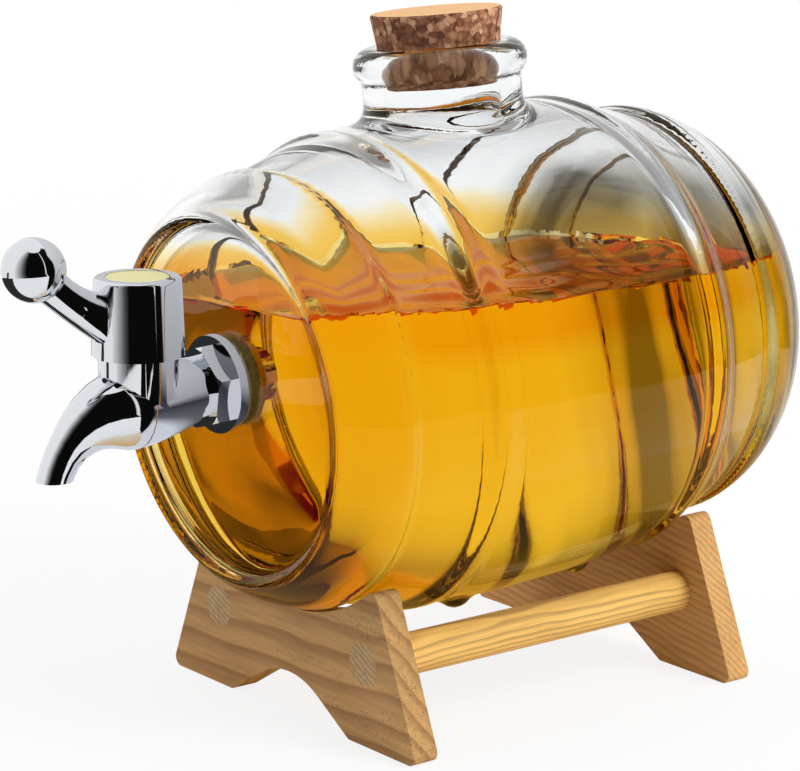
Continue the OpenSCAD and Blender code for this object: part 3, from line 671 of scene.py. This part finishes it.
looks = {
    "front_panel": front_pine, "rear_panel": rear_pine,
    "left_dowel": dowel_wood, "right_dowel": dowel_wood,
    "cork_stopper": cork_mat, "tap_body": chrome,
    "outer_gasket": silicone, "inner_gasket": silicone,
    "back_washer": steel, "back_nut": brass, "gland_ring": brass, "valve_plug": brass,
    "thrust_washer": washer_plastic, "upper_o_ring": rubber, "lower_o_ring": rubber,
    "lever_handle": chrome, "screw_washer": steel, "cap_screw": steel,
    "marker_disc": disc_plastic, "glass_barrel": glass_mat,
}
WELD_REACH = 1e-6
SHARP_ANGLE = math.radians(35)
for name, material in looks.items():
    assign(nodes[name], material)
for node in nodes.values():
    node.data.shade_smooth()
    node.modifiers.new("weld", "WELD").merge_threshold = WELD_REACH
    node.modifiers.new("edges", "EDGE_SPLIT").split_angle = SHARP_ANGLE


# ------------------------------------------------- glass and liquor
def above_liquor(x, y, z):
    """Height over the liquor, whose surface is drawn lower at its far side, as photographed."""
    fall = SURFACE_SLOPE * (SURFACE_LEVEL_AT - x)
    return y * math.sin(TILT) + z * math.cos(TILT) + AXIS_HEIGHT - LIQUOR_LEVEL + fall


def liquor(x, y, z):
    """Signed distance to the liquor. It reaches a little into the wall, climbs it at the near
    side, and is rippled there."""
    wall = cavity(x, y, z)
    inward = np.minimum(wall, 0)
    climb = MENISCUS_RISE * np.exp(inward / MENISCUS_REACH) * np.clip(x / 30 + 0.7, 0, 1)
    swell = (0.3 * np.sin(y / 4.2 + 1.6 * np.sin(x / 6.5))
             + 0.25 * np.sin(x / 2.6 + 0.9 * np.sin(y / 9.0)))
    rippled = np.clip((x + 16) / 10, 0, 1) * (1 - np.exp(inward / 3))
    height = above_liquor(x, y, z) - climb - rippled * swell
    return blend_max(wall - LIQUOR_OVERLAP, height, SURFACE_BLEND)


points, faces = surface(glass, GLASS_BOX, GLASS_STEP)
glass_piece = make_mesh("barrel_glass", points, faces, BARREL)
assign(glass_piece, glass_mat, wet_glass)
centre = points[faces].mean(1).T
wet = (np.abs(cavity(*centre)) < WET_REACH) & (above_liquor(*centre) < WET_HEIGHT)
glass_piece.data.polygons.foreach_set("material_index", wet.astype(np.int32))
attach(glass_piece, "barrel")
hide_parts("glass_barrel")

points, faces = surface(liquor, LIQUOR_BOX, LIQUOR_STEP)
liquor_piece = make_mesh("liquor", points, faces, BARREL)
assign(liquor_piece, liquor_top, liquor_side)
centre = points[faces].mean(1).T
side = np.abs(cavity(*centre) - LIQUOR_OVERLAP) < SIDE_REACH
liquor_piece.data.polygons.foreach_set("material_index", side.astype(np.int32))
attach(liquor_piece, "barrel")

# ------------------------------------------------- studio, in metres
# The camera's place, with Y from the front panel's face, and its look down and turn to the
# left, in degrees
CAMERA_X, CAMERA_Y, CAMERA_Z = 0.54198, -0.38658, 0.22684
CAMERA_DOWN = 12.69
CAMERA_TURN = 52.31
FOCAL_PIXELS = 3046.8
PHOTO_WIDTH = 800
SENSOR = 36
# Parts of the room, by their angle round the object from the camera, and its radius
ROOM_START = -62
ROOM_SPLIT = 63
ROOM_END = 118
ROOM_RADIUS = 1.3

scene = bpy.context.scene
azimuth = math.atan2(CAMERA_Y, CAMERA_X)

# White paper. Camera, metal and glass see it as plain white, save close to the object, where
# it shows its shadows
bpy.ops.mesh.primitive_plane_add(size=8, location=(0, 0, -0.0002))
floor = bpy.context.object
floor.name = "floor"
m = Nodes("floor")
paper = m.new("BsdfDiffuse", {"Color": (0.92, 0.92, 0.92, 1)})
white = m.new("Emission", {"Color": (1, 1, 1, 1), "Strength": 1.0})
reach = m.vector("LENGTH", m.place())
path = m.new("LightPath").outputs
beyond = m.math("MULTIPLY", m.math("MAXIMUM", path["Is Glossy Ray"], path["Is Transmission Ray"]),
                m.remap(reach, (0.05, 0.11), (0.3, 0.85)))
direct = m.math("MULTIPLY", path["Is Camera Ray"], m.remap(reach, (0.4, 0.9), (0.85, 1.0)))
share = m.math("MAXIMUM", direct, beyond)
blend = m.new("MixShader", {0: share, 1: paper.outputs[0], 2: white.outputs[0]})
m.tree.links.new(blend.outputs[0], m.out.inputs["Surface"])
assign(floor, m.material)


def sheet_of(name, profile, start, end):
    """Part of a turned sheet round +Z, from one angle to another, unseen by the camera."""
    turns = np.radians(np.linspace(start, end, 97))
    points = [(r * math.cos(t), r * math.sin(t), z) for r, z in profile for t in turns]
    n = len(turns)
    faces = [(k * n + i, (k + 1) * n + i, (k + 1) * n + i + 1, k * n + i + 1)
             for k in range(len(profile) - 1) for i in range(n - 1)]
    mesh = bpy.data.meshes.new(name)
    mesh.from_pydata(points, [], faces)
    sheet = bpy.data.objects.new(name, mesh)
    scene.collection.objects.link(sheet)
    sheet.rotation_euler = (0, 0, azimuth)
    sheet.visible_camera = False
    return sheet


def glow(m, tone, hidden=None):
    """Plain light of one tone, and nothing at all where hidden is 1."""
    surface = m.new("Emission", {"Color": tone, "Strength": 1.0})
    if hidden is not None:
        clear = m.new("BsdfTransparent")
        surface = m.new("MixShader", {0: hidden, 1: surface.outputs[0], 2: clear.outputs[0]})
    m.tree.links.new(surface.outputs[0], m.out.inputs["Surface"])


def card(sheet, glossy, transmission):
    """Make a sheet a card that lights and shades nothing: metal, glass or both may show it."""
    sheet.visible_diffuse = False
    sheet.visible_shadow = False
    sheet.visible_glossy = glossy
    sheet.visible_transmission = transmission


# The dark half of the room behind the camera: table, wall and ceiling, with one bright strip.
# The part past ROOM_SPLIT is a card that only metal and the glass's own shine show
ROOM = [(0.42, 0.001), (ROOM_RADIUS, 0.002), (ROOM_RADIUS, 1.7), (0.75, 2.4)]
room = sheet_of("dark_side", ROOM, ROOM_START, ROOM_SPLIT)
right = sheet_of("dark_right", ROOM, ROOM_SPLIT, ROOM_END)
card(right, True, False)
m = Nodes("dark_side")
where = m.new("SeparateXYZ", {0: m.place()}).outputs
turn = m.math("ARCTAN2", where["Y"], where["X"])
step = m.remap(turn, (math.radians(ROOM_START), math.radians(ROOM_END)))
grey = m.ramp(step, [
    (0.0, 0.85), (0.08, 0.45), (0.16, 0.10), (0.22, 0.004), (0.58, 0.004), (0.584, 0.9),
    (0.604, 0.9), (0.608, 0.004), (0.95, 0.01), (1.0, 0.5)])
through = m.math("MULTIPLY", m.new("LightPath").outputs["Is Transmission Ray"], 0.7)
glow(m, m.mix(through, grey, (0.8, 0.8, 0.8)))
assign(room, m.material)
assign(right, m.material)

# Dark places on the table, that only metal and the glass's own shine show
patch = sheet_of("dark_patch", [(0.08, 0.0015), (0.40, 0.0015)], -135, -70)
card(patch, True, False)
m = Nodes("dark_patch")
glow(m, (0.03, 0.03, 0.03, 1))
assign(patch, m.material)

strip = sheet_of("dark_strip", [(0.40, 0.0015), (1.2, 0.0015)], -95, -86)
card(strip, True, False)
assign(strip, m.material)

# Amber light that the barrel throws on the floor, in its shadow
POOL_RADIUS = 0.15
pool = sheet_of("amber_pool", [(0.001, 0.0005), (POOL_RADIUS, 0.0005)], 0, 360)
card(pool, True, True)
pool.location = (-0.049, BARREL_Y + 0.035, 0)
m = Nodes("amber_pool")
far = m.remap(m.vector("LENGTH", m.place()), (0.0, POOL_RADIUS))
glow(m, m.ramp(far, [
    (0.0, (0.60, 0.27, 0.03)), (0.6, (0.66, 0.36, 0.06)), (1.0, (0.85, 0.78, 0.62))]))
assign(pool, m.material)

# The back of the room darkens upwards, as a ceiling does past the edge of a white background
BACK_FOOT, BACK_TOP = 0.25, 2.2
BACK_WALL = [(ROOM_RADIUS, BACK_FOOT), (ROOM_RADIUS, 0.7), (1.0, BACK_TOP)]
back = sheet_of("back_wall", BACK_WALL, ROOM_END, ROOM_START + 360)
card(back, False, True)
m = Nodes("back_wall")
climb = m.remap(m.part(m.place(), "Z"), (BACK_FOOT, BACK_TOP))
glow(m, m.ramp(climb, [(0.0, 1.0), (0.10, 0.85), (0.25, 0.42), (0.6, 0.26), (1.0, 0.5)]))
assign(back, m.material)

# A pale card with a dark band, between tap and barrel, that only the tap sees
face = sheet_of("tap_card", [(0.009, 0.0), (0.11, 0.0)], 0, 360)
card(face, True, False)
face.location = BARREL @ Vector((0, -FACE_STATION * MM - 0.0006, 0))
face.rotation_euler = (math.radians(90) + TILT, 0, 0)
m = Nodes("tap_card")
where = m.new("SeparateXYZ", {0: m.place()}).outputs
tone = m.ramp(m.remap(where["Y"], (-0.08, 0.08)), [
    (0.0, (0.80, 0.82, 0.86)), (0.36, (0.75, 0.77, 0.82)), (0.42, (0.15, 0.15, 0.17)),
    (0.50, (0.05, 0.05, 0.06)), (0.54, (0.45, 0.44, 0.46)), (0.68, (0.62, 0.62, 0.64)),
    (1.0, 0.8)])
tone = m.mix(m.remap(where["X"], (0.043, 0.048)), tone, (0.004, 0.004, 0.004))
glow(m, tone, m.new("NewGeometry").outputs["Backfacing"])
assign(face, m.material)

world = bpy.data.worlds.new("studio")
scene.world = world
world.use_nodes = True
tree = world.node_tree
tree.nodes.clear()
background = tree.nodes.new("ShaderNodeBackground")
background.inputs["Color"].default_value = (1, 1, 1, 1)
background.inputs["Strength"].default_value = 1.0
out = tree.nodes.new("ShaderNodeOutputWorld")
tree.links.new(background.outputs[0], out.inputs[0])

# One lamp, at the right and behind, gives the object its side light and its shadow
lamp_data = bpy.data.lights.new("side", "AREA")
lamp_data.shape = "RECTANGLE"
lamp_data.size, lamp_data.size_y = 0.5, 0.6
lamp_data.energy = 10
lamp = bpy.data.objects.new("side", lamp_data)
scene.collection.objects.link(lamp)
lamp.location = (0.9, 0.35, 0.8)
lamp.visible_glossy = False
lamp.visible_transmission = False
aim = Vector((0, 0, 0.08)) - lamp.location
lamp.rotation_euler = aim.to_track_quat("-Z", "Y").to_euler()

stand_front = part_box("front_panel")[0].y
camera_data = bpy.data.cameras.new("camera")
camera = bpy.data.objects.new("camera", camera_data)
scene.collection.objects.link(camera)
camera_data.lens = FOCAL_PIXELS * SENSOR / PHOTO_WIDTH
camera_data.sensor_width = SENSOR
camera_data.clip_end = 50
camera.location = (CAMERA_X, stand_front + CAMERA_Y, CAMERA_Z)
camera.rotation_euler = (math.radians(90 - CAMERA_DOWN), 0, math.radians(CAMERA_TURN))
scene.camera = camera

scene.view_settings.view_transform = "Standard"
